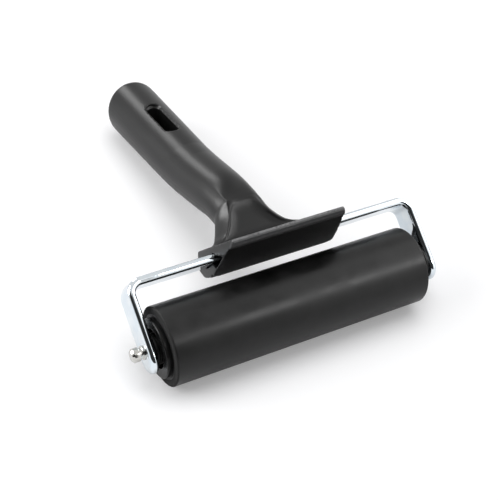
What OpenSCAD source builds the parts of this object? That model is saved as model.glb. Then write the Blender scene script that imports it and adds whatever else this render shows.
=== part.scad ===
// Rubber brayer: a free-running rubber roller on an axle, carried in a bent steel strap frame,
// with a moulded handle whose cross foot wraps the frame's bar.
// The tool lies at rest on its roller and on the butt of its handle. X runs along the roller,
// Y from the roller towards the butt, Z up. The origin is on the bench, under the middle of
// the whole tool.

/* [Roller] */
// Length of the rubber sleeve and of its core
roller_length = 100; // [60:1:150]
// Outside diameter of the rubber sleeve
roller_d = 28.3; // [24:0.1:40]
// Thickness of the rubber
rubber_wall = 2.6; // [1.5:0.1:4]
// Radius of the rubber's end edges
rubber_edge = 0.7; // [0.3:0.1:1.2]
// Wall of the core tube under the rubber
core_wall = 2.0; // [1.2:0.1:3]
// How far the roller has slid towards the left arm
roller_float = 1.4; // [0:0.1:2.4]

/* [End caps] */
// Length of the cap's skirt inside the core
cap_length = 12; // [8:0.5:20]
// Radius of the cap's rim, which covers the end of the core
cap_r = 10.5; // [9.8:0.1:11]
// How far the rim stands out of the core's end
cap_reach = 2; // [1:0.1:2.4]
// Radius of the rim's edges
cap_edge = 0.4; // [0.2:0.1:0.8]
// Wall of the cap's skirt and of its web
cap_wall = 1.5; // [1:0.1:2.5]
// Radius of the ring-shaped pocket in the cap's face
pocket_r = 7; // [6.4:0.1:7.6]
// Depth of that pocket
pocket_depth = 3.5; // [2.5:0.5:7]
// Wall of the hub around the bush
hub_wall = 1.5; // [1:0.1:1.8]
// How far the hub stands out of the core's end
hub_reach = 1; // [0.4:0.1:1.4]
// How far the hub reaches in behind the cap's web
hub_back = 1.5; // [0.5:0.1:3]

/* [Axle and bearings] */
// Diameter of the axle between the arms
axle_d = 6; // [5:0.1:8]
// Diameter of the axle's ends, where they pass through the arms
stub_d = 5; // [3.5:0.1:5.6]
// How far the left end stands out past its arm
left_stub = 4.4; // [3:0.1:8]
// How far the right end stands out past its arm
right_stub = 0.8; // [0.4:0.1:2]
// Width of the groove turned in the left end
groove_w = 1.2; // [0.6:0.1:1.6]
// Depth of that groove
groove_depth = 0.5; // [0.2:0.1:0.8]
// Steel left between the arm and the groove
groove_gap = 0.5; // [0.2:0.1:1]
// Chamfer on the axle's ends
stub_chamfer = 0.7; // [0.2:0.1:1]
// Radial clearance of the bushes and washers on the axle
running_gap = 0.05; // [0.02:0.01:0.1]
// Radial clearance of the axle's ends in the arms
stub_gap = 0.05; // [0.02:0.01:0.1]
// Wall of each bush
bush_wall = 1.1; // [0.8:0.1:2]
// Length of each bush behind its flange
bush_length = 9; // [5:0.5:11]
// Thickness of the bush's flange
flange_t = 1.0; // [0.6:0.1:1.2]
// How far the flange reaches past the bush
flange_reach = 1.4; // [0.8:0.1:2]
// Thickness of the washers against the arms
washer_t = 0.8; // [0.5:0.1:1]
// Width of the washers' ring
washer_ring = 2.6; // [1.5:0.1:4]

/* [Frame] */
// Thickness of the steel strap
strap_t = 3; // [2:0.1:4]
// Width of the strap
strap_w = 11.4; // [9:0.1:14]
// Room between the roller's ends and the arms, both sides together
end_room = 9; // [7:0.1:12]
// Distance from the axle to the near face of the bar
bar_reach = 21.2; // [18:0.1:30]
// Inside radius of the two bends
bend_r = 3; // [2:0.1:6]
// Distance from the axle to the middle of each arm's round end
arm_tail = 2.2; // [0:0.1:4]
// Slope of the arms above the bench
arm_angle = 37; // [25:0.5:50]

/* [Foot] */
// Height of the lip's top edge above the middle of the bar
lip_rise = 17.1; // [15:0.1:20]
// Distance of that edge in front of the middle of the bar
lip_front = 10.4; // [9:0.1:12]
// Distance of the front plate's bottom edge below the middle of the bar
plate_drop = 4.8; // [4:0.1:7]
// Distance of that edge in front of the middle of the bar
plate_out = 3.6; // [3:0.1:6]
// Distance of the foot's heel behind the middle of the bar
heel_back = 8.6; // [7:0.1:12]
// Distance of the heel below the middle of the bar
heel_drop = 2.5; // [1:0.1:4]
// How much the foot's back face leans in under the heel
heel_lean = 1.3; // [0.5:0.1:2.5]
// How far the rounded sole lies below the front plate
sole_depth = 5.1; // [4:0.1:6]
// Radius of the sole's bends
sole_r = 1.8; // [1:0.1:2.5]
// Half length of the foot at its lip
foot_half = 22; // [18:0.1:40]
// How much the foot's half length grows down to its bottom edge
foot_spread = 2.3; // [0:0.1:4]
// Clearance between the strap and its slot
slot_gap = 0.15; // [0.05:0.05:0.3]
// Thickness of the front plate's edge beside the end hollows
plate_t = 0.4; // [0.3:0.1:1.2]
// How far the hollows' front wall turns away from the plate as it runs in
hollow_turn = 12; // [0:1:15]
// Depth of the hollow behind the plate, from each end
end_hollow = 6; // [3:0.5:8]
// Height of the lip along the foot's top
lip_h = 3.7; // [3:0.1:6]
// How far the lip stands in front of the plate
lip_reach = 0.5; // [0.2:0.1:1.2]
// Thickness of the lip in front of the slope's top edge
lip_t = 1.7; // [1.4:0.1:3]
// Distance down the lip to the fine groove above its bead
bead_top = 1.1; // [0.8:0.1:2]
// Depth of that groove
bead_groove = 0.4; // [0.2:0.1:0.6]
// Radius of the foot's long edges
lip_edge = 0.7; // [0.4:0.1:0.9]
// Distance down the plate from the lip to the top of the end hollows
hollow_top = 9.5; // [9:0.5:13]
// Distance down the plate from the lip to the bottom of the end hollows
hollow_low = 17; // [16:0.5:19]
// How far back from the plate's face the end hollows reach
hollow_back = 4.4; // [3:0.1:5]
// How much lower their roof lies at the back than at the plate
hollow_sink = 6; // [2:0.1:6]
// Radius of the front plate's bottom corners
plate_corner = 2; // [1:0.1:4]
// Depth of those rounded corners behind the plate's bottom edge
corner_depth = 0.8; // [0.4:0.1:2]

/* [Handle] */
// Distance from the axle back to the start of the rounded butt
butt_y = 134.3; // [100:0.1:160]
// Depth of the rounded butt
butt_depth = 5; // [4:0.1:12]
// How far the butt's face leans back at the top
butt_lean = 3; // [0:0.1:4]
// Length of grip over which the sections turn to that lean
lean_run = 25; // [10:1:40]
// Radius of the grip at the butt
butt_r = 11.4; // [9:0.1:14]
// Radius of the grip where it meets the neck
neck_r = 9.8; // [8:0.1:12]
// How much the grip bellies out between neck and butt
grip_swell = 0.2; // [0:0.1:1]
// Distance from the axle back to the end of the neck
neck_y = 45; // [42:0.5:50]
// Slope of the grip down to the butt
grip_angle = 5.9; // [3:0.1:10]
// How far the grip's end rises above that slope at the neck
neck_lift = 3.8; // [0:0.1:5]
// Depth of the scoop in the neck's top
scoop_depth = 1.2; // [0.4:0.1:2]
// Width of the rim that borders the scoop
scoop_rim = 0.3; // [0.2:0.1:1.5]
// Corner radius at the scoop's closed end
scoop_corner = 4; // [2:0.5:5.5]

/* [Hanging slot] */
// Width of the slot
hang_w = 5.4; // [3:0.1:8]
// Length of the slot
hang_l = 21.5; // [12:0.5:30]
// Distance from the start of the butt to the slot's near end
hang_back = 18.3; // [8:0.1:24]
// Width of the step around the slot's mouth
hang_step = 0.8; // [0.3:0.1:1.5]
// Depth of that step
hang_step_depth = 1; // [0.5:0.1:2]

/* [Hidden] */

fine = 96;      // facets of a full turn on visible round parts

roller_r = roller_d / 2;
core_r = roller_r - rubber_wall;
core_bore = core_r - core_wall;
axle_r = axle_d / 2;
stub_r = stub_d / 2;
bush_bore = axle_r + running_gap;
bush_r = axle_r + bush_wall;
flange_r = bush_r + flange_reach;
hub_r = bush_r + hub_wall;
washer_bore = axle_r + running_gap;
washer_r = washer_bore + washer_ring;
strap_r = strap_t / 2;
bar_mid = bar_reach + strap_t / 2;
arm_gap = roller_length + end_room;
arm_outer = arm_gap / 2 + strap_t;

// Outline points of the foot's section as [distance back from the axle, height above it].
// They hang on the bar, so the foot follows the frame.
bar_y = bar_mid * cos(arm_angle);
bar_z = bar_mid * sin(arm_angle);
lip_top = [bar_y - lip_front, bar_z + lip_rise];
plate_foot = [bar_y - plate_out, bar_z - plate_drop];
plate_lean = atan2(plate_foot[0] - lip_top[0], lip_top[1] - plate_foot[1]);
plate_l = norm(plate_foot - lip_top);
plate_down = [sin(plate_lean), -cos(plate_lean)];
plate_front = [-cos(plate_lean), -sin(plate_lean)];
heel = [bar_y + heel_back, bar_z - heel_drop];
slope_run = heel[0] - lip_top[0];
slope_rise = lip_top[1] - heel[1];

// Grip axis: the butt's lowest point lies on the bench, level with the roller's.
grip_slope = tan(grip_angle);
butt_sag = pow(grip_slope * butt_depth, 2) / (2 * butt_r);
butt_z = butt_r - roller_r + butt_sag;
butt_end = butt_y + norm([butt_depth, butt_lean]);

// From the axle's middle to the middle of the whole tool
left_end = arm_outer + left_stub;
right_end = arm_outer + right_stub;
mid_x = (right_end - left_end) / 2;
mid_y = (butt_end - roller_r) / 2;

function smooth(t) = let (c = min(1, max(0, t))) c * c * (3 - 2 * c);
function mix(a, b, t) = a + (b - a) * t;

// A closed outline whose corners [x, y, radius] are rounded by arcs.
function rounded(corners, steps = 6) = [
    for (i = [0:len(corners) - 1])
        let (
            n = len(corners),
            before = corners[(i + n - 1) % n],
            at = corners[i],
            after = corners[(i + 1) % n],
            p = [at[0], at[1]],
            u = unit([before[0], before[1]] - p),
            v = unit([after[0], after[1]] - p),
            half = acos(u * v) / 2,
            centre = p + unit(u + v) * at[2] / sin(half),
            from = p + u * at[2] / tan(half) - centre,
            to = p + v * at[2] / tan(half) - centre
        )
        each at[2] == 0 ? [p] : [
            for (k = [0:steps]) centre + at[2] * unit(from * (steps - k) + to * k)
        ]
];
function unit(v) = v / norm(v);

module placed() {
    translate([-mid_x, -mid_y, roller_r]) children();
}

module along_x() {
    rotate([90, 0, 90]) children();
}

// Turns a profile of [radius, distance along X] about the axle's line.
module turned_x() {
    rotate([0, 90, 0]) rotate_extrude($fn = fine) children();
}

// ---- strap frame ----

// The strap's section with its full-round edges, thickness along x, width along y.
module strap_section(gap = 0) {
    square([strap_t + 2 * gap, strap_w - strap_t], center = true);
    for (side = [-1, 1])
        translate([0, side * (strap_w - strap_t) / 2]) circle(r = strap_r + gap, $fn = 48);
}

// The bar alone, in the frame's own slanted axes, with room for a clearance.
module bar(length, gap = 0) {
    translate([-length / 2, bar_mid, 0]) along_x() linear_extrude(length) strap_section(gap);
}

module arm() {
    corner_y = bar_reach - bend_r;
    arm_mid = arm_gap / 2 + strap_t / 2;
    translate([arm_mid, corner_y, 0]) rotate([90, 0, 0]) linear_extrude(corner_y + arm_tail) strap_section();
    translate([arm_mid - bend_r - strap_r, corner_y, 0])
        rotate_extrude(angle = 90, $fn = fine) translate([bend_r + strap_r, 0]) strap_section();
    translate([arm_mid, -arm_tail, 0]) rotate([0, 90, 0]) rotate([0, 0, -90])
        rotate_extrude($fn = fine) intersection() {
            rotate(90) strap_section();
            translate([0, -strap_t]) square([strap_w, 2 * strap_t]);
        }
}

module frame() {
    bar_length = arm_gap - 2 * bend_r;
    color("gainsboro") placed() difference() {
        rotate([arm_angle, 0, 0]) union() {
            bar(bar_length);
            arm();
            mirror([1, 0, 0]) arm();
        }
        rotate([0, 90, 0]) cylinder(r = stub_r + stub_gap, h = 2 * arm_outer + 2, center = true, $fn = fine);
    }
}

// ---- axle and what runs on it ----

module axle() {
    shoulder = arm_gap / 2;
    groove_x = -arm_outer - groove_gap;
    color("tan") placed() turned_x() polygon([
        [0, -left_end],
        [stub_r - stub_chamfer, -left_end],
        [stub_r, -left_end + stub_chamfer],
        [stub_r, groove_x - groove_w],
        [stub_r - groove_depth, groove_x - groove_w],
        [stub_r - groove_depth, groove_x],
        [stub_r, groove_x],
        [stub_r, -shoulder],
        [axle_r, -shoulder],
        [axle_r, shoulder],
        [stub_r, shoulder],
        [stub_r, right_end - right_stub / 2],
        [stub_r - right_stub / 2, right_end],
        [0, right_end]
    ]);
}

module washer(side) {
    color([0.16, 0.16, 0.17]) placed() translate([side * (arm_gap - washer_t) / 2, 0, 0]) rotate([0, 90, 0])
        difference() {
            cylinder(r = washer_r, h = washer_t, center = true, $fn = fine);
            cylinder(r = washer_bore, h = washer_t + 2, center = true, $fn = fine);
        }
}

// Puts a roller-end piece, drawn with +X pointing out of the roller's end at x = 0, on one end.
module on_roller_end(side) {
    placed() translate([side * roller_length / 2 - roller_float, 0, 0])
        mirror([side < 0 ? 1 : 0, 0, 0]) children();
}

module roller_core() {
    color("dimgray") placed() translate([-roller_float, 0, 0]) rotate([0, 90, 0]) difference() {
        cylinder(r = core_r, h = roller_length, center = true, $fn = fine);
        cylinder(r = core_bore, h = roller_length + 2, center = true, $fn = fine);
    }
}

module rubber_sleeve() {
    half = roller_length / 2;
    color([0.2, 0.2, 0.2]) placed() translate([-roller_float, 0, 0]) turned_x() polygon(rounded([
        [core_r, -half, 0],
        [roller_r, -half, rubber_edge],
        [roller_r, half, rubber_edge],
        [core_r, half, 0]
    ]));
}

module end_cap(side) {
    floor_x = cap_reach - pocket_depth;
    web_back = floor_x - cap_wall;
    skirt_in = core_bore - cap_wall;
    color([0.12, 0.12, 0.12]) on_roller_end(side) turned_x() polygon(rounded([
        [bush_r, web_back - hub_back, 0],
        [hub_r, web_back - hub_back, 0],
        [hub_r, web_back, 0],
        [skirt_in, web_back, 0],
        [skirt_in, -cap_length, 0],
        [core_bore, -cap_length, 0],
        [core_bore, 0, 0],
        [cap_r, 0, 0],
        [cap_r, cap_reach, cap_edge],
        [pocket_r, cap_reach, cap_edge],
        [pocket_r, floor_x, 0],
        [hub_r, floor_x, 0],
        [hub_r, hub_reach, 0],
        [bush_r, hub_reach, 0]
    ]));
}

module bush(side) {
    color([0.16, 0.16, 0.17]) on_roller_end(side) turned_x() polygon([
        [bush_bore, hub_reach - bush_length],
        [bush_r, hub_reach - bush_length],
        [bush_r, hub_reach],
        [flange_r, hub_reach],
        [flange_r, hub_reach + flange_t],
        [bush_bore, hub_reach + flange_t]
    ]);
}

// ---- moulded handle: foot, neck and grip in one piece ----

sole_slant = 1.15;          // how far back the sole starts for each millimetre that it drops

// A point of the foot's section, by distance in front of the lip's top edge and down the plate.
function on_plate(front, down) = lip_top + plate_front * front + plate_down * down;
function corner(p, r) = [p[0], p[1], r];

// How far the plate's face stands in front there.
function plate_face(down) = (lip_t - lip_reach) * (plate_l - down) / (plate_l - lip_h);

module foot_section() {
    polygon(rounded([
        corner(lip_top, lip_edge),
        corner(on_plate(lip_t - bead_groove / 2, lip_edge / 2), lip_edge / 2),
        corner(on_plate(lip_t - bead_groove, bead_top), bead_groove / 2),
        corner(on_plate(lip_t, bead_top + 1.5 * bead_groove), lip_edge),
        corner(on_plate(lip_t, lip_h), lip_edge),
        corner(on_plate(lip_t - lip_reach, lip_h), lip_reach / 4),
        corner(plate_foot, lip_edge),
        corner(plate_foot + sole_depth * [sole_slant, -1], 2 * sole_r),
        corner([heel[0] - heel_lean, plate_foot[1] - sole_depth], sole_r),
        corner(heel, sole_r / 2)
    ]));
}

// One end of the foot as seen square to the plate: it bulges out on its way down, [half length,
// height from the lip's top edge].
foot_side = [for (t = [0:0.1:1]) [foot_half + foot_spread * t * (2 - t), -plate_l * t]];
foot_end = foot_half + foot_spread;

// The plate's own axes: X along the lip, Y square to the plate and into the foot, Z up the plate.
module on_plate_axes() {
    translate([0, lip_top[0], lip_top[1]]) rotate([plate_lean, 0, 0]) children();
}

module foot() {
    sole = -plate_l - 2 * sole_depth;
    corner_at = [foot_end - plate_corner, plate_corner - plate_l];
    difference() {
        intersection() {
            translate([-foot_end, 0, 0]) along_x() linear_extrude(2 * foot_end) foot_section();
            on_plate_axes() rotate([90, 0, 0]) linear_extrude(4 * slope_run, center = true)
                for (side = [0, 1]) mirror([side, 0])
                    polygon([[0, lip_t], [foot_half, lip_t], each foot_side, [foot_end, sole], [0, sole]]);
        }
        on_plate_axes() rotate([90, 0, 0]) linear_extrude(2 * corner_depth, center = true)
            for (side = [0, 1]) mirror([side, 0]) translate(corner_at) difference() {
                translate([0, -2 * plate_corner]) square(2 * plate_corner);
                circle(r = plate_corner, $fn = 48);
            }
    }
}

// The neck and grip are one smooth skin, lofted through upright sections from the buried front
// end at neck_front to the butt. Every section is a ring of the same number of points: each is
// a mix of the grip's circle and of the neck's flared section.
neck_front = bar_y + plate_out;
scoop_end = 5.2;            // distance of the scoop's closed end in front of the grip
scoop_y = neck_y - scoop_end;
scoop_wall = 0.5;           // width of the scoop's steep wall
scoop_dish = 4;             // width over which the floor runs down from that wall
lift_run = 42;              // length of grip over which its end rises
quarter = 90;               // degrees from the underside to the belly
crease_turn = 52;           // degrees up the circle at which the neck's crease starts
crease_sink = 0.5;          // drop of the crease below the grip's circle
slope_sink = 0.4;           // depth at which the skin runs on under the foot's slope
blend_back = 13;            // distance behind the neck at which the skin is the grip's circle
blend_run = 17;             // length over which it turns from circle to flare
flat_run = 9;               // length over which the flanks turn nearly flat
crown_run = 18;             // length over which the top between the creases goes flat
flank_ease = 6;             // width over which the flank runs out onto the foot's slope
top_ease = 4;               // the same for the scoop's floor
ring_low = 8;               // points from the underside to the belly
ring_flank = 7;             // points from the belly to the crease
ring_top = 9;               // points from the crease to the crest

function grip_z(y) = butt_z + grip_slope * (butt_y - y)
    + neck_lift * smooth((neck_y + lift_run - y) / lift_run);
function grip_r(y) = let (
        into = max(0, y - butt_y) / butt_depth,
        t = (min(y, butt_y) - neck_y) / (butt_y - neck_y)
    )
    (mix(neck_r, butt_r, t) + 4 * grip_swell * max(0, t) * (1 - t)) * sqrt(max(0, 1 - into * into));

// Flared neck, by distance q from the grip towards the foot. Each curve runs straight at first,
// then bends: a bend is the distance after which it has moved as far sideways as along.
belly_start = 3;            // where the belly starts to widen
belly_bend = 91;
toe_start = 15;             // where it widens quickly into the foot
toe_bend = 8.3;
crease_start = 5;           // where the creases start to part
crease_bend = 28;
fall_bend = 83;             // of the creases, seen from the side

function past(q, start) = max(0, q - start);
function curve(q, start, slope, bend) = past(q, start) * (slope + past(q, start) / bend);
function belly_x(q) = min(foot_half + foot_spread / 2,
    neck_r + curve(q, belly_start, 0.40, belly_bend) + curve(q, toe_start, 0, toe_bend));
function belly_z(q) = grip_z(neck_y) - 0.15 * past(q, belly_start);
function crease_x(q) = neck_r * cos(crease_turn) + curve(q, crease_start, 0.12, crease_bend);
function crease_z(q) = grip_z(neck_y - min(q, crease_start)) + neck_r * sin(crease_turn)
    - crease_sink + curve(q, crease_start, -0.62, fall_bend);
function under_z(q) = grip_z(neck_y) - neck_r + 0.36 * past(q, belly_start);
function crown(q) = neck_r * (1 - sin(crease_turn)) * smooth((crease_start - q) / crown_run);
function slope_z(y) = heel[1] + (heel[0] - y) * slope_rise / slope_run;

// Depth of the scoop at a distance x from the middle: a rounded-corner pocket behind a thin rim.
function scoop(x, y, rim_x) = let (
        side = rim_x - x,
        back = scoop_y - y,
        corner = min(scoop_corner, rim_x),
        inside = side < corner && back < corner
            ? corner - norm([corner - side, corner - back])
            : min(side, back)
    )
    scoop_depth * (0.5 * smooth((inside - scoop_rim) / scoop_wall)
        + 0.5 * smooth(inside / scoop_dish));

// The larger of two heights, eased over a width of k where they cross.
function eased_max(a, b, k) = let (h = max(0, k - abs(a - b)) / k) max(a, b) + h * h * k / 4;

// The flank between belly and crease is the circle's arc at the grip and nearly flat at the foot.
function flared(y, part, t) = let (
        q = neck_y - y,
        flat = 0.8 * smooth(q / flat_run),
        out = (1 - cos(crease_turn * t)) / (1 - cos(crease_turn)),
        up = sin(crease_turn * t) / sin(crease_turn)
    )
    part == 0 ? [
        belly_x(q) * sin(quarter * t),
        mix(belly_z(q), under_z(q), cos(quarter * t))
    ]
    : part == 1 ? [
        mix(belly_x(q), crease_x(q), mix(out, t, flat)),
        eased_max(mix(belly_z(q), crease_z(q), mix(up, t, flat)), slope_z(y) - slope_sink, flank_ease)
    ]
    : let (
        x = crease_x(q) * (1 - t),
        top = crease_z(q) + crown(q) * (1 - (1 - t) * (1 - t)) - scoop(x, y, crease_x(q))
    ) [x, eased_max(top, slope_z(y) - slope_sink, top_ease)];

function circled(y, part, t) = let (
        turn = part == 0 ? quarter * (t - 1) : part == 1 ? crease_turn * t : mix(crease_turn, quarter, t)
    ) [grip_r(y) * cos(turn), grip_z(y) + grip_r(y) * sin(turn)];

function ring_point(y, part, t) = let (share = smooth((neck_y + blend_back - y) / blend_run))
    mix(circled(y, part, t), share > 0 ? flared(y, part, t) : [0, 0], share);

// From the crease inward the points stand at the scoop's rim, at the foot of its wall and on.
function half_ring(y) = let (wide = crease_x(neck_y - y), wall = (scoop_rim + scoop_wall) / wide) [
    for (k = [0:ring_low - 1]) ring_point(y, 0, k / ring_low),
    for (k = [0:ring_flank - 1]) ring_point(y, 1, k / ring_flank),
    ring_point(y, 2, 0),
    ring_point(y, 2, scoop_rim / wide),
    for (k = [0:ring_top]) ring_point(y, 2, mix(wall, 1, pow(k / ring_top, 1.4)))
];

// A ring of the skin. Near the butt it leans, so that its top lies further back.
function ring(y) = let (
        half = half_ring(y),
        n = len(half),
        lean = butt_lean / butt_r * smooth((y - butt_y + lean_run) / lean_run),
        back = [for (p = half) y + lean * (p[1] - grip_z(y))]
    ) [
        for (i = [0:n - 1]) [half[i][0], back[i], half[i][1]],
        for (i = [n - 2:-1:1]) [-half[i][0], back[i], half[i][1]]
    ];

// Where the sections stand: close together round the scoop's end and over the butt.
function spread(from, to, n) = [for (i = [0:n - 1]) mix(from, to, i / n)];
scoop_front = scoop_y - 1.25 * scoop_corner;
scoop_back = scoop_y + scoop_rim;
stations = [
    each spread(neck_front, scoop_front, 9),
    each spread(scoop_front, scoop_back, 11),
    each spread(scoop_back, neck_y + blend_back, 12),
    each spread(neck_y + blend_back, butt_y, 9),
    for (a = [0:10:80]) butt_y + butt_depth * sin(a)
];

module neck_and_grip() {
    rings = [for (y = stations) ring(y)];
    n = len(rings[0]);
    m = len(rings);
    front_mid = [0, stations[0], grip_z(neck_y)];
    butt_tip = [0, butt_y + butt_depth, grip_z(butt_y + butt_depth)];
    polyhedron(
        points = [front_mid, butt_tip, for (r = rings) each r],
        faces = [
            for (j = [0:n - 1]) let (k = (j + 1) % n) [0, 2 + k, 2 + j],
            for (j = [0:n - 1]) let (k = (j + 1) % n) [1, 2 + (m - 1) * n + j, 2 + (m - 1) * n + k],
            for (i = [0:m - 2], j = [0:n - 1])
                let (k = (j + 1) % n, a = 2 + i * n, b = a + n)
                each [[a + j, a + k, b + k], [a + j, b + k, b + j]]
        ]
    );
}

module slot_shape(width, length) {
    square([width, length - width], center = true);
    for (side = [-1, 1]) translate([0, side * (length - width) / 2]) circle(d = width, $fn = 48);
}

// The slot that the tool hangs by, square to the grip, with a step round its upper mouth.
module hanging_slot() {
    slot_y = butt_y - hang_back - hang_l / 2;
    crest = grip_r(slot_y);
    translate([0, slot_y, grip_z(slot_y)]) rotate([-grip_angle, 0, 0]) {
        linear_extrude(4 * butt_r, center = true) slot_shape(hang_w, hang_l);
        translate([0, 0, sqrt(crest * crest - hang_w * hang_w / 4) - hang_step_depth])
            linear_extrude(butt_r) slot_shape(hang_w + 2 * hang_step, hang_l + 2 * hang_step);
    }
}

// Room for the bar through the foot, and the hollow beside it at each of the foot's ends.
module bar_room() {
    rotate([arm_angle, 0, 0]) bar(arm_gap, slot_gap);
    on_plate_axes() for (side = [-1, 1])
        translate([side * foot_end, 0, 0]) rotate([0, 0, -side * hollow_turn])
            translate([-end_hollow, 0, 0]) along_x() linear_extrude(2 * end_hollow) polygon([
                [plate_t - plate_face(hollow_top), -hollow_top],
                [plate_t - plate_face(hollow_low), -hollow_low],
                [hollow_back, -hollow_low - hollow_sink / 4],
                [hollow_back, -hollow_top - hollow_sink]
            ]);
}

module handle() {
    color([0.25, 0.25, 0.26]) placed() difference() {
        union() {
            foot();
            neck_and_grip();
        }
        bar_room();
        hanging_slot();
    }
}

handle();
frame();
axle();
washer(-1);  // left_washer
washer(1);  // right_washer
roller_core();
rubber_sleeve();
end_cap(-1);  // left_end_cap
end_cap(1);  // right_end_cap
bush(-1);  // left_bush
bush(1);  // right_bush
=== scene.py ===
"""A rubber brayer lying on its roller and on the butt of its handle, dressed in its real finishes.

Every length is in metres. X runs along the roller, Y from the roller to the butt, Z up.
"""

import bmesh
import bpy
import numpy as np
from mathutils import Matrix, Vector


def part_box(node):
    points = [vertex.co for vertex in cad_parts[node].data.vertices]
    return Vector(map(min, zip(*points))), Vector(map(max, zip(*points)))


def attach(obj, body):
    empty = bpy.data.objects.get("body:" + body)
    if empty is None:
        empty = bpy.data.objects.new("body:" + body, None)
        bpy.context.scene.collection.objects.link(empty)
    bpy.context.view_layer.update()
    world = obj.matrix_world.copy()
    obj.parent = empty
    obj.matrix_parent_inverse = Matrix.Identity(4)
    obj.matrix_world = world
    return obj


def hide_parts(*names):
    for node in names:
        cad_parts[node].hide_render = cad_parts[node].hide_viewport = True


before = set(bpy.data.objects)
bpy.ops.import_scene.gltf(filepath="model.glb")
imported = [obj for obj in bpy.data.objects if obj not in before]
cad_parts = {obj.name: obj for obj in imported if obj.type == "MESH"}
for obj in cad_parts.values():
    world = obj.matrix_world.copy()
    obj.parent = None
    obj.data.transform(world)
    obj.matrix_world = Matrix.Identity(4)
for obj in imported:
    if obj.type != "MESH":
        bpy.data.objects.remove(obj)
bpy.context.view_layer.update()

# ---- camera ----
# It stands in front of the roller's left end and looks down on the whole tool, turned a little
# on its own axis. It is placed from the axle's line, halfway between the frame's arms.

frame_low, frame_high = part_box("frame")
axle_low, axle_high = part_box("axle")
axle_mid = Vector((
    (frame_low.x + frame_high.x) / 2,
    (axle_low.y + axle_high.y) / 2,
    (axle_low.z + axle_high.z) / 2,
))

camera_data = bpy.data.cameras.new("camera")
camera_data.sensor_width, camera_data.lens = 36, 84.868
camera_data.clip_start, camera_data.clip_end = 0.01, 20
camera = bpy.data.objects.new("camera", camera_data)
bpy.context.scene.collection.objects.link(camera)

right = Vector((0.87578701, -0.47817439, 0.06592691))
up = Vector((0.27019542, 0.59881522, 0.75393286))
back = right.cross(up)
from_axle = Vector((-0.17349, -0.24758, 0.28333))
camera.matrix_world = Matrix.Translation(axle_mid + from_axle) @ Matrix((
    (right.x, up.x, back.x, 0),
    (right.y, up.y, back.y, 0),
    (right.z, up.z, back.z, 0),
    (0, 0, 0, 1),
))
bpy.context.scene.camera = camera

# ---- bench, backdrop and light ----
# A plain white sheet on a bench, under soft lamps. The steel and the dark plastic mirror the room
# round it: pale walls, softboxes at the left, the back and the right, a long strip of light in
# front, and the unlit side of the room at the left of the camera.


class Wire:
    """One output in a node tree. Arithmetic on it adds the Math nodes that work it out."""

    def __init__(self, tree, socket=None):
        self.tree, self.socket = tree, socket

    def node(self, kind, settings=(), sockets=(), out=0):
        """A node of that kind. Its settings come first, then its sockets, as values or wires. The
        wire that comes back is its output out."""
        made = self.tree.nodes.new("ShaderNode" + kind)
        for name, value in dict(settings).items():
            setattr(made, name, value)
        for name, value in dict(sockets).items():
            if isinstance(value, Wire):
                self.tree.links.new(value.socket, made.inputs[name])
            else:
                made.inputs[name].default_value = value
        return Wire(self.tree, made.outputs[out] if made.outputs else None)

    def math(self, operation, *values):
        """A Math node on those values or wires."""
        return self.node("Math", {"operation": operation}, dict(enumerate(values)))

    def ramp(self, start, end):
        """0 up to start and 1 from end on, eased between, or the other way round if end is less."""
        low, high = min(start, end), max(start, end)
        sockets = {"Value": self, "From Min": low, "From Max": high, "To Min": 0.0, "To Max": 1.0}
        eased = self.node("MapRange", {"interpolation_type": "SMOOTHSTEP"}, sockets)
        return eased if start < end else 1 - eased

    def __add__(self, other):
        return self.math("ADD", self, other)

    def __sub__(self, other):
        return self.math("SUBTRACT", self, other)

    def __rsub__(self, other):
        return self.math("SUBTRACT", other, self)

    def __mul__(self, other):
        return self.math("MULTIPLY", self, other)

    __radd__, __rmul__ = __add__, __mul__


bpy.context.scene.view_settings.view_transform = "Standard"

white = (1, 1, 1, 1)
world = bpy.data.worlds.new("room")
bpy.context.scene.world = world
world.use_nodes = True
world.node_tree.nodes.clear()
room = Wire(world.node_tree)
heading = room.node("TexCoord", out="Generated")


def toward(direction):
    """How nearly a ray heads that way: 1 is straight at it."""
    aim = Vector(direction).normalized()
    return room.node("VectorMath", {"operation": "DOT_PRODUCT"}, {0: heading, 1: aim}, "Value")


wall_level, fill_level = 0.72, 0.52     # how bright the walls are in gloss, and as they light things
side, depth, rise = toward((1, 0, 0)), toward((0, 1, 0)), toward((0, 0, 1))
right_wall = side.ramp(0.2, 0.6) * 0.28
front_wall = depth.ramp(-0.3, -0.6) * 0.28
high_window = toward((0.74, 0.11, 0.66)).ramp(0.89, 0.98) * 1.2
back_corner = side.ramp(0.3, 0.45) * side.ramp(0.8, 0.65) * depth.ramp(0.2, 0.6) * 0.24
unlit_edge = side - rise.ramp(0.78, 0.70) * 0.09
unlit_side = unlit_edge.ramp(0.26, 0.18) * depth.ramp(-0.02, -0.14) * rise.ramp(0.92, 0.84)
mirrored = (wall_level + right_wall + front_wall + high_window - back_corner) * (1 - unlit_side * 0.97)
camera_ray = room.node("LightPath", out="Is Camera Ray")
glossy_ray = room.node("LightPath", out="Is Glossy Ray")
lighting = glossy_ray * mirrored + (1 - glossy_ray) * fill_level
level = camera_ray + (1 - camera_ray) * lighting
walls = room.node("Background", {}, {"Color": white, "Strength": level})
room.node("OutputWorld", {}, {"Surface": walls})
world.cycles.sampling_method = "NONE"   # so that only bounced rays meet the walls

reach = 3.0     # of the sheet from its middle
floor_mesh = bpy.data.meshes.new("bench_sheet")
floor_corners = [(-reach, -reach, 0), (reach, -reach, 0), (reach, reach, 0), (-reach, reach, 0)]
floor_mesh.from_pydata(floor_corners, [], [(0, 1, 2, 3)])
floor = bpy.data.objects.new("bench_sheet", floor_mesh)
bpy.context.scene.collection.objects.link(floor)

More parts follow.
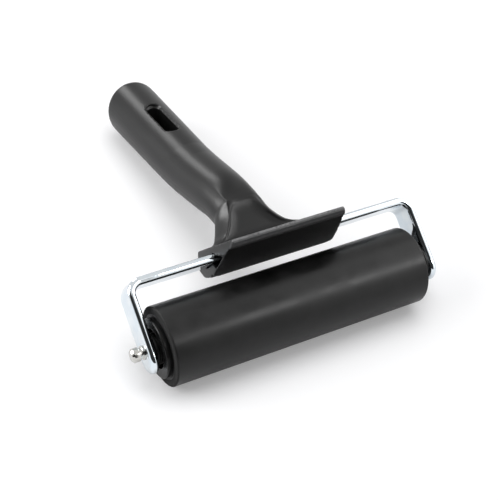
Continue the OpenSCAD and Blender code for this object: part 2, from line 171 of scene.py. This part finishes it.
# The sheet is white paper to the camera, a little brighter than it is lit, and plain white far off.
# Gloss shows a part of that brightness.
sheet = bpy.data.materials.new("white_sheet")
sheet.use_nodes = True
sheet.node_tree.nodes.clear()
paper = Wire(sheet.node_tree)
matt = paper.node("BsdfDiffuse", {}, {"Color": (0.78, 0.78, 0.79, 1)})
glow = paper.node("Emission", {}, {"Color": white, "Strength": 0.22})
bare = paper.node("Emission", {}, {"Color": white, "Strength": 1.0})
seen = paper.node("LightPath", out="Is Camera Ray") + 0.3 * paper.node("LightPath", out="Is Glossy Ray")
spot = paper.node("TexCoord", out="Object")
away = paper.node("VectorMath", {"operation": "LENGTH"}, {0: spot}, "Value")
near = paper.node("AddShader", {}, {0: matt, 1: glow})
shown = paper.node("MixShader", {}, {0: away.ramp(0.2, 0.5), 1: near, 2: bare})
paper.node("OutputMaterial", {}, {"Surface": paper.node("MixShader", {}, {0: seen, 1: matt, 2: shown})})
floor_mesh.materials.append(sheet)


def softbox(name, heading, distance, size, level, shown, sideways=0):
    """A lamp that way from the axle's middle, moved sideways along X and facing back along the
    heading. It is as bright as level. Gloss shows it if it is shown, and else it only lights."""
    data = bpy.data.lights.new(name, "AREA")
    data.shape, data.size, data.size_y = "RECTANGLE", size[0], size[1]
    data.energy = 4 * level * size[0] * size[1]
    lamp = bpy.data.objects.new(name, data)
    bpy.context.scene.collection.objects.link(lamp)
    away = Vector(heading).normalized()
    lamp.rotation_euler = away.to_track_quat("Z", "Y").to_euler()
    lamp.location = axle_mid + away * distance + Vector((sideways, 0, 0))
    lamp.visible_glossy, lamp.visible_diffuse = shown, not shown


softbox("left_softbox", (-0.79, 0.46, 0.41), 0.6, (0.30, 0.36), level=10.5, shown=True)
softbox("back_softbox", (-0.10, 0.85, 0.50), 1.0, (0.26, 0.46), level=4.8, shown=True)
softbox("front_strip", (0, -0.652, 0.758), 1.0, (1.0, 0.25), level=5.2, shown=True, sideways=0.8)
softbox("right_softbox", (0.80, -0.10, 0.56), 0.8, (0.28, 0.28), level=3.8, shown=True)
softbox("top_softbox", (0.15, 0.05, 0.98), 1.1, (0.9, 0.9), level=1.9, shown=False)
softbox("left_fill", (-0.78, 0.30, 0.55), 1.0, (0.9, 0.6), level=2.3, shown=False)

# ---- strap frame ----
# One bright plated steel strap with full-round edges, bent twice into a wide U. Its ends are
# rounded and bored for the axle, and its bar runs through the handle's foot.

strap_t, strap_w = 0.003, 0.0114    # thickness and width of the strap
bar_reach = 0.0212                  # from the axle to the near face of the bar
bend_r = 0.003                      # inside radius of the bends
arm_tail = 0.0022                   # from the axle to the middle of the arm's round end
arm_slope = np.radians(37)          # of the arms above the bench
bore_r = 0.00255                    # radius of the axle's bore

edge_r = strap_t / 2
face_half = strap_w / 2 - edge_r
mid_r = bend_r + edge_r
bar_mid = bar_reach + edge_r
bar_half = (frame_high.x - frame_low.x) / 2 - strap_t - bend_r
bend_run = mid_r * np.pi / 2
axle_run = bar_half + bend_run + bar_reach - bend_r     # from the bar's middle to the axle


def bent(run, across, proud):
    """The strap's place for a point of the flat strip: run along it from the bar's middle, across
    it, and proud of its middle layer. The middle layer is a straight run, then a quarter turn of
    mid_r, then a straight run, and the arms slope up from the axle by arm_slope."""
    side, along = np.sign(run), np.abs(run)
    turn = np.clip((along - bar_half) / mid_r, 0, np.pi / 2)
    x = np.minimum(along, bar_half) + (mid_r + proud) * np.sin(turn)
    down_arm = np.maximum(0, along - bar_half - bend_run)
    up_arm = bar_mid - mid_r + (mid_r + proud) * np.cos(turn) - down_arm
    y = up_arm * np.cos(arm_slope) - across * np.sin(arm_slope)
    z = up_arm * np.sin(arm_slope) + across * np.cos(arm_slope)
    return np.stack([axle_mid.x + side * x, axle_mid.y + y, axle_mid.z + z], -1)


def woven(name, grids, body, crease=40):
    """A smooth closed piece of grids of points. Each grid's neighbours join in quads, equal points
    become one, and edges sharper than crease degrees stay crisp."""
    points = np.concatenate([grid.reshape(-1, 3) for grid in grids])
    quads, first = [], 0
    for grid in grids:
        rows, columns = grid.shape[:2]
        at = first + np.arange(rows * columns).reshape(rows, columns)
        corners = [at[:-1, :-1], at[1:, :-1], at[1:, 1:], at[:-1, 1:]]
        quads.append(np.stack(corners, -1).reshape(-1, 4))
        first += rows * columns
    mesh = bpy.data.meshes.new(name)
    mesh.from_pydata(points, [], np.concatenate(quads).tolist())
    return seated(name, mesh, body, crease)


def seated(name, mesh, body, crease):
    """Merges a mesh's equal points, turns its faces outward and puts it on a body."""
    work = bmesh.new()
    work.from_mesh(mesh)
    bmesh.ops.remove_doubles(work, verts=work.verts, dist=1e-6)
    bmesh.ops.dissolve_degenerate(work, edges=work.edges, dist=1e-7)
    bmesh.ops.recalc_face_normals(work, faces=work.faces)
    for face in work.faces:
        face.smooth = True
    work.to_mesh(mesh)
    work.free()
    mesh.set_sharp_from_angle(angle=np.radians(crease))
    piece = bpy.data.objects.new(name, mesh)
    bpy.context.scene.collection.objects.link(piece)
    piece.modifiers.new("even_shading", "WEIGHTED_NORMAL").keep_sharp = True
    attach(piece, body)
    return piece


# The rim is the line where a flat face meets the round edge. It is followed round one end, from
# the cut that ends the long part of the strap, as [run past the axle, across].
cut_run, cut_steps, turn_steps, edge_steps = 0.006, 10, 48, 14
side_run = np.linspace(-cut_run, arm_tail, cut_steps)
sweep = np.linspace(np.pi / 2, -np.pi / 2, turn_steps)
rim = np.concatenate([
    np.stack([side_run, np.full(cut_steps, face_half)], -1)[:-1],
    np.stack([arm_tail + face_half * np.cos(sweep), face_half * np.sin(sweep)], -1),
    np.stack([side_run, np.full(cut_steps, -face_half)], -1)[-2::-1],
])
rim_out = np.stack([np.maximum(0, rim[:, 0] - arm_tail), rim[:, 1]], -1)
rim_out /= np.linalg.norm(rim_out, axis=1, keepdims=True)
cut = np.stack([np.full(cut_steps, -cut_run), np.linspace(-face_half, face_half, cut_steps)], -1)
around = np.concatenate([rim, cut[1:]])
bore = bore_r * around / np.linalg.norm(around, axis=1, keepdims=True)

arm_run = np.linspace(axle_run - cut_run, bar_half + bend_run, 12)
bend = np.linspace(bar_half + bend_run, bar_half, 25)[1:]
bar = np.linspace(bar_half, -bar_half, 41)[1:]
stations = np.concatenate([arm_run, bend, bar, -bend[::-1][1:], -arm_run[::-1]])

half_turn = np.linspace(-np.pi / 2, np.pi / 2, edge_steps + 1)
grids = []
for side in (1, -1):
    run = side * (axle_run + rim[:, :1] + edge_r * np.cos(half_turn) * rim_out[:, :1])
    across = rim[:, 1:] + edge_r * np.cos(half_turn) * rim_out[:, 1:]
    grids.append(bent(run, across, edge_r * np.sin(half_turn) + 0 * run))
    for proud in (edge_r, -edge_r):
        flat = bore + (around - bore) * np.linspace(0, 1, 7)[:, None, None]
        run = side * (axle_run + flat[..., 0])
        grids.append(bent(run, flat[..., 1], np.full(run.shape, proud)))
    through = np.linspace(-edge_r, edge_r, 4)[:, None] + 0 * bore[:, 0]
    run = side * (axle_run + bore[:, 0]) + 0 * through
    grids.append(bent(run, bore[:, 1] + 0 * through, through))
for proud in (edge_r, -edge_r):
    run, across = np.meshgrid(stations, cut[:, 1], indexing="ij")
    grids.append(bent(run, across, np.full(run.shape, proud)))
for side in (1, -1):
    run = stations[:, None] + 0 * half_turn
    across = side * (face_half + edge_r * np.cos(half_turn)) + 0 * run
    grids.append(bent(run, across, edge_r * np.sin(half_turn) + 0 * run))


def finish(name, **constants):
    """A material, its Principled shader, a wire on its tree, and the place of a point on the piece.
    The constants are set on the shader's own sockets."""
    material = bpy.data.materials.new(name)
    material.use_nodes = True
    shader = material.node_tree.nodes["Principled BSDF"]
    for socket, value in constants.items():
        shader.inputs[socket.replace("_", " ")].default_value = value
    wire = Wire(material.node_tree)
    return material, shader, wire, wire.node("TexCoord", out="Object")


def feed(shader, socket, wire):
    """Runs a wire into one of the shader's sockets."""
    wire.tree.links.new(wire.socket, shader.inputs[socket])


def grain(place, scale, detail=3.0, stretch=(1, 1, 1)):
    """Noise from 0 to 1, with that many grains to the metre along each axis."""
    spread = tuple(scale * s for s in stretch)
    spot = place.node("VectorMath", {"operation": "MULTIPLY"}, {0: place, 1: spread})
    return place.node("TexNoise", {}, {"Vector": spot, "Scale": 1.0, "Detail": detail})


def tint(value, dark, pale):
    """A colour that runs from dark to pale as the value goes from 0 to 1. Either may be a wire."""
    dark, pale = (c if isinstance(c, Wire) else (*c, 1) for c in (dark, pale))
    return value.node("Mix", {"data_type": "RGBA"}, {0: value, 6: dark, 7: pale}, 2)


def relief(height, depth, strength):
    """A normal for a surface that rises by depth metres where height is 1."""
    return height.node("Bump", {}, {"Height": height, "Distance": depth, "Strength": strength})


def dress(piece, material, slot_name, *stands_for):
    """Gives a piece its material and hides the solids it stands for. Its slot name is not used."""
    piece.data.materials.clear()
    piece.data.materials.append(material)
    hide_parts(*stands_for)


plating, shader, wire, place = finish("bright_plating", Metallic=1.0)
cloud = grain(place, 220, 4)
feed(shader, "Base Color", tint(cloud.ramp(0.3, 0.7), (0.76, 0.84, 0.90), (0.86, 0.91, 0.94)))
feed(shader, "Roughness", 0.01 + cloud * 0.02 + grain(place, 3500, 2) * 0.01)
feed(shader, "Normal", relief(grain(place, 160, 2), 0.00004, 0.5))
dress(woven("plated_strap", grids, "handle"), plating, "plated_steel", "frame")

# ---- axle ----
# A turned steel rod. Its shouldered ends pass through the arms, and the left one stands out, with
# a groove and a chamfer. The turning has left fine rings.

axle_r, stub_r = 0.003, 0.0025      # between the arms, and in and past them
groove_w, groove_depth, groove_gap = 0.0012, 0.0005, 0.0005
left_chamfer, right_chamfer = 0.0007, 0.0004
left_stub, right_stub = axle_mid.x - axle_low.x, axle_high.x - axle_mid.x
arm_inner = bar_half + bend_r
arm_outer = arm_inner + strap_t


def turned(name, outline, body, crease=40, facets=160, arc_steps=6):
    """A piece turned about the axle's line. Its outline is a closed line of corners [along X from
    the arms' middle, radius, rounding]. A rounded corner is an arc that touches both its sides, and
    a point at (x, r) becomes (x, r cos a, r sin a) for every angle a."""
    corners = np.array([corner[:2] for corner in outline], float)
    rounding = np.array([corner[2] if len(corner) > 2 else 0 for corner in outline])
    before = np.roll(corners, 1, 0) - corners
    after = np.roll(corners, -1, 0) - corners
    before /= np.linalg.norm(before, axis=1, keepdims=True)
    after /= np.linalg.norm(after, axis=1, keepdims=True)
    half = np.arccos(np.clip((before * after).sum(1), -1, 1)) / 2
    points = []
    for at, u, v, r, h in zip(corners, before, after, rounding, half):
        if r == 0:
            points.append(at[None])
            continue
        middle = at + (u + v) / np.linalg.norm(u + v) * r / np.sin(h)
        start, end = at + u * r / np.tan(h) - middle, at + v * r / np.tan(h) - middle
        way = start + (end - start) * np.linspace(0, 1, arc_steps + 1)[:, None]
        points.append(middle + r * way / np.linalg.norm(way, axis=1, keepdims=True))
    line = np.concatenate(points)
    line = np.concatenate([line, line[:1]])
    angle = np.linspace(0, 2 * np.pi, facets + 1)
    x = axle_mid.x + line[:, :1] + 0 * angle
    y = axle_mid.y + line[:, 1:] * np.cos(angle)
    z = axle_mid.z + line[:, 1:] * np.sin(angle)
    return woven(name, [np.stack([x, y, z], -1)], body, crease)


soft = 0.0001       # rounding of a turned or moulded corner
groove_x = -arm_outer - groove_gap
axle_outline = [
    (-left_stub, 0),
    (-left_stub, stub_r - left_chamfer, soft),
    (-left_stub + left_chamfer, stub_r, soft),
    (groove_x - groove_w, stub_r, soft),
    (groove_x - groove_w, stub_r - groove_depth, soft),
    (groove_x, stub_r - groove_depth, soft),
    (groove_x, stub_r, soft),
    (-arm_inner, stub_r),
    (-arm_inner, axle_r, soft),
    (arm_inner, axle_r, soft),
    (arm_inner, stub_r),
    (right_stub - right_chamfer, stub_r, soft),
    (right_stub, stub_r - right_chamfer, soft),
    (right_stub, 0),
]
turned_steel, shader, wire, place = finish("turned_steel", Metallic=1.0)
rings = grain(place, 1, 2, (9000, 60, 60))
feed(shader, "Base Color", tint(grain(place, 900, 3), (0.58, 0.57, 0.54), (0.72, 0.71, 0.68)))
feed(shader, "Roughness", 0.06 + rings * 0.10)
feed(shader, "Normal", relief(rings, 0.000002, 0.6))
dress(turned("turned_axle", axle_outline, "handle"), turned_steel, "axle_steel", "axle")

# ---- washers ----
# Two plain rings of dark plastic on the axle, which keep the bushes off the steel arms.

washer_t, washer_bore, washer_r = 0.0008, 0.00305, 0.00565
dark = (0.006, 0.006, 0.006, 1)
washer_plastic, shader, wire, place = finish("washer_plastic", Base_Color=dark, Specular_IOR_Level=0.3)
feed(shader, "Roughness", 0.35 + grain(place, 1500) * 0.15)
feed(shader, "Normal", relief(grain(place, 2500), 0.00003, 0.5))
for name, side in (("left_washer", -1), ("right_washer", 1)):
    outline = [
        (side * arm_inner, washer_bore),
        (side * arm_inner, washer_r, soft),
        (side * (arm_inner - washer_t), washer_r, soft),
        (side * (arm_inner - washer_t), washer_bore),
    ]
    dress(turned(name + "_ring", outline, "handle"), washer_plastic, "washer_plastic", name)

# ---- roller core ----
# The stiff plastic tube that carries the rubber. Only its ends show, behind the caps' rims.

core_low, core_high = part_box("roller_core")
sleeve_low, sleeve_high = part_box("rubber_sleeve")
core_r = (core_high.z - core_low.z) / 2
roller_r = (sleeve_high.z - sleeve_low.z) / 2
core_left, core_right = core_low.x - axle_mid.x, core_high.x - axle_mid.x
core_wall = 0.002
core_outline = [
    (core_left, core_r - core_wall, soft), (core_left, core_r, soft),
    (core_right, core_r, soft), (core_right, core_r - core_wall, soft),
]
core_plastic, shader, wire, place = finish("core_plastic", Base_Color=dark, Specular_IOR_Level=0.3)
feed(shader, "Roughness", 0.42 + grain(place, 1200) * 0.12)
feed(shader, "Normal", relief(grain(place, 1800), 0.00004, 0.5))
dress(turned("core_tube", core_outline, "roller"), core_plastic, "core_plastic", "roller_core")

# ---- rubber sleeve ----
# Dark rubber, moulded on the core and then ground true. It is matt, with a faint cloudiness from
# use and very fine rings from the grinding wheel.

rubber_edge = 0.0007
sleeve_outline = [
    (core_left, core_r), (core_left, roller_r, rubber_edge),
    (core_right, roller_r, rubber_edge), (core_right, core_r),
]
rubber, shader, wire, place = finish("ground_rubber", Specular_IOR_Level=0.33)
cloud = grain(place, 130, 5)
rings = grain(place, 1, 3, (2600, 90, 90))
speck = grain(place, 2400, 2)
black, charcoal = (0.002, 0.002, 0.002), (0.007, 0.007, 0.007)
feed(shader, "Base Color", tint(cloud.ramp(0.25, 0.75), black, charcoal))
along = wire.node("SeparateXYZ", {}, {"Vector": place}, "X") - (core_low.x + core_high.x) / 2
to_end = (core_high.x - core_low.x) / 2 - wire.math("ABSOLUTE", along)
cut_end = to_end.ramp(0.0006, 0.0002)
feed(shader, "Roughness", 0.27 + cloud.ramp(0.3, 0.7) * 0.10 + speck * 0.06 + cut_end * 0.5)
feed(shader, "Normal", relief(rings * 0.6 + speck * 0.4, 0.00003, 0.5))
sleeve = turned("ground_sleeve", sleeve_outline, "roller", facets=256, arc_steps=10)
dress(sleeve, rubber, "rubber", "rubber_sleeve")

# ---- end caps ----
# Glossy dark mouldings pushed into the core's ends: a flat rim that stands out, a ring-shaped
# pocket inside it, and a hub that holds the bush.

cap_length, cap_r, cap_edge, cap_wall = 0.012, 0.0105, 0.0004, 0.0015
pocket_r, pocket_depth = 0.007, 0.0035
bush_r, hub_wall = 0.0041, 0.0015
cap_reach, hub_reach, hub_back = 0.002, 0.001, 0.0015   # rim and hub past the core's end, hub inwards
core_bore = core_r - core_wall
web_out = cap_reach - pocket_depth
web_in = web_out - cap_wall
hub_r = bush_r + hub_wall
cap_plastic, shader, wire, place = finish("cap_plastic", Specular_IOR_Level=0.2)
swirl = grain(place, 420, 4)
feed(shader, "Roughness", 0.16 + swirl * 0.12)
feed(shader, "Normal", relief(grain(place, 300, 3), 0.00008, 0.5))
feed(shader, "Base Color", tint(swirl, (0.003, 0.003, 0.003), (0.006, 0.006, 0.006)))
for name, side, end in (("left_end_cap", -1, core_left), ("right_end_cap", 1, core_right)):
    profile = [
        (web_in - hub_back, bush_r), (web_in - hub_back, hub_r, soft), (web_in, hub_r, soft),
        (web_in, core_bore - cap_wall, soft), (-cap_length, core_bore - cap_wall, soft),
        (-cap_length, core_bore, soft), (0, core_bore), (0, cap_r, soft),
        (cap_reach, cap_r, cap_edge), (cap_reach, pocket_r, cap_edge),
        (web_out, pocket_r, cap_edge), (web_out, hub_r, cap_edge), (hub_reach, hub_r, soft),
        (hub_reach, bush_r),
    ]
    outline = [(end + side * corner[0], *corner[1:]) for corner in profile]
    dress(turned(name + "_moulding", outline, "roller"), cap_plastic, "cap_plastic", name)

# ---- bushes ----
# Plain dark bearings pressed into the caps' hubs. They run on the axle, and their flanges turn
# against the washers.

bush_bore, bush_length, flange_r, flange_t = 0.00305, 0.009, 0.0055, 0.001
bush_plastic, shader, wire, place = finish("bush_plastic", Base_Color=dark, Specular_IOR_Level=0.3)
feed(shader, "Roughness", 0.28 + grain(place, 1400) * 0.14)
feed(shader, "Normal", relief(grain(place, 2000), 0.00003, 0.5))
for name, side, end in (("left_bush", -1, core_left), ("right_bush", 1, core_right)):
    profile = [
        (hub_reach - bush_length, bush_bore), (hub_reach - bush_length, bush_r, soft),
        (hub_reach, bush_r), (hub_reach, flange_r, soft),
        (hub_reach + flange_t, flange_r, soft), (hub_reach + flange_t, bush_bore, soft),
    ]
    outline = [(end + side * corner[0], *corner[1:]) for corner in profile]
    dress(turned(name + "_bearing", outline, "roller"), bush_plastic, "bush_plastic", name)

# ---- moulded handle ----
# One moulding of dark satin plastic: the foot that grips the frame's bar, the neck with its
# scoop and the round grip. Its edges are soft and the mould leaves a very fine, even grain.
# Painted highlights make its edges, the foot's lip and the lip's top edge paler, in patches.

handle_piece = seated("moulded_handle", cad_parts["handle"].data.copy(), "handle", 180)
handle_piece.modifiers.clear()


def modified(piece, *steps):
    """Bakes modifiers into a piece's mesh. Each step is a kind and its settings."""
    for kind, settings in steps:
        step = piece.modifiers.new(kind.lower(), kind)
        for name, value in settings.items():
            setattr(step, name, value)
    whole = piece.evaluated_get(bpy.context.evaluated_depsgraph_get())
    mesh = bpy.data.meshes.new_from_object(whole)
    piece.modifiers.clear()
    piece.data = mesh
    return mesh


def ease(value, start, end):
    """0 up to start and 1 from end on, with an S-shaped rise 3t^2 - 2t^3 between."""
    t = np.clip((value - start) / (end - start), 0, 1)
    return t * t * (3 - 2 * t)


skin = modified(
    handle_piece,
    ("REMESH", {"mode": "VOXEL", "voxel_size": 0.0003, "use_smooth_shade": True}),
    ("SMOOTH", {"factor": 0.5, "iterations": 7}),
)
points = np.empty(len(skin.vertices) * 3)
skin.vertices.foreach_get("co", points)
points = points.reshape(-1, 3)
# The scoop's upper end melts into the neck. Each point there is smoothed further by this share,
# which falls off at the limits below, in metres.
x, y, z = (points - (axle_mid.x, 0, 0)).T
melt = ease(z, 0.024, 0.027) * ease(x, -0.0045, -0.0015) * ease(0.0085 - x, 0, 0.002)
melt *= ease(y, -0.032, -0.027) * ease(-y, 0.013, 0.018)
scoop_top = handle_piece.vertex_groups.new(name="scoop_top")
for share in range(1, 11):
    chosen = np.flatnonzero(np.round(melt * 10) == share)
    scoop_top.add(chosen.tolist(), share / 10, "REPLACE")
modified(
    handle_piece,
    ("SMOOTH", {"factor": 0.9, "iterations": 90, "vertex_group": "scoop_top"}),
    ("DECIMATE", {"ratio": 0.46}),
)
handle_piece.vertex_groups.clear()
plastic, shader, wire, place = finish("moulded_plastic", Specular_IOR_Level=0.33)
pores = grain(place, 3000, 2)
cloud = grain(place, 90, 4)
handle_low, handle_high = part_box("handle")
# Painted highlights: a paler colour on convex edges, on the bead along the lip's front and on the lip's
# top edge, broken into patches by a noise.
inwards = {"inside": True, "only_local": True, "samples": 8}
buried = wire.node("AmbientOcclusion", inwards, {"Distance": 0.001}, "AO")
edge = ((1 - buried) * 2.0).ramp(0.1, 0.9)
back_from_bead = wire.node("SeparateXYZ", {}, {"Vector": place}, "Y") - handle_low.y
below_lip = handle_high.z - wire.node("SeparateXYZ", {}, {"Vector": place}, "Z")
bead_highlight = back_from_bead.ramp(0.0016, 0.0011) * below_lip.ramp(0.0033, 0.0027)
crest_highlight = below_lip.ramp(0.00035, 0.0001)
highlight_patches = grain(place, 700, 3).ramp(0.2, 0.6)
colour = tint(cloud, (0.0042, 0.0042, 0.0043), (0.0062, 0.0062, 0.0063))
colour = tint(edge * highlight_patches * 0.7, colour, (0.05, 0.05, 0.051))
colour = tint(bead_highlight * (0.7 + highlight_patches * 0.3), colour, (0.042, 0.042, 0.043))
feed(shader, "Base Color", tint(crest_highlight * highlight_patches, colour, (0.16, 0.16, 0.163)))
feed(shader, "Roughness", 0.30 + cloud * 0.05 + pores * 0.05)
feed(shader, "Normal", relief(pores, 0.00003, 0.35))
dress(handle_piece, plastic, "handle_plastic", "handle")
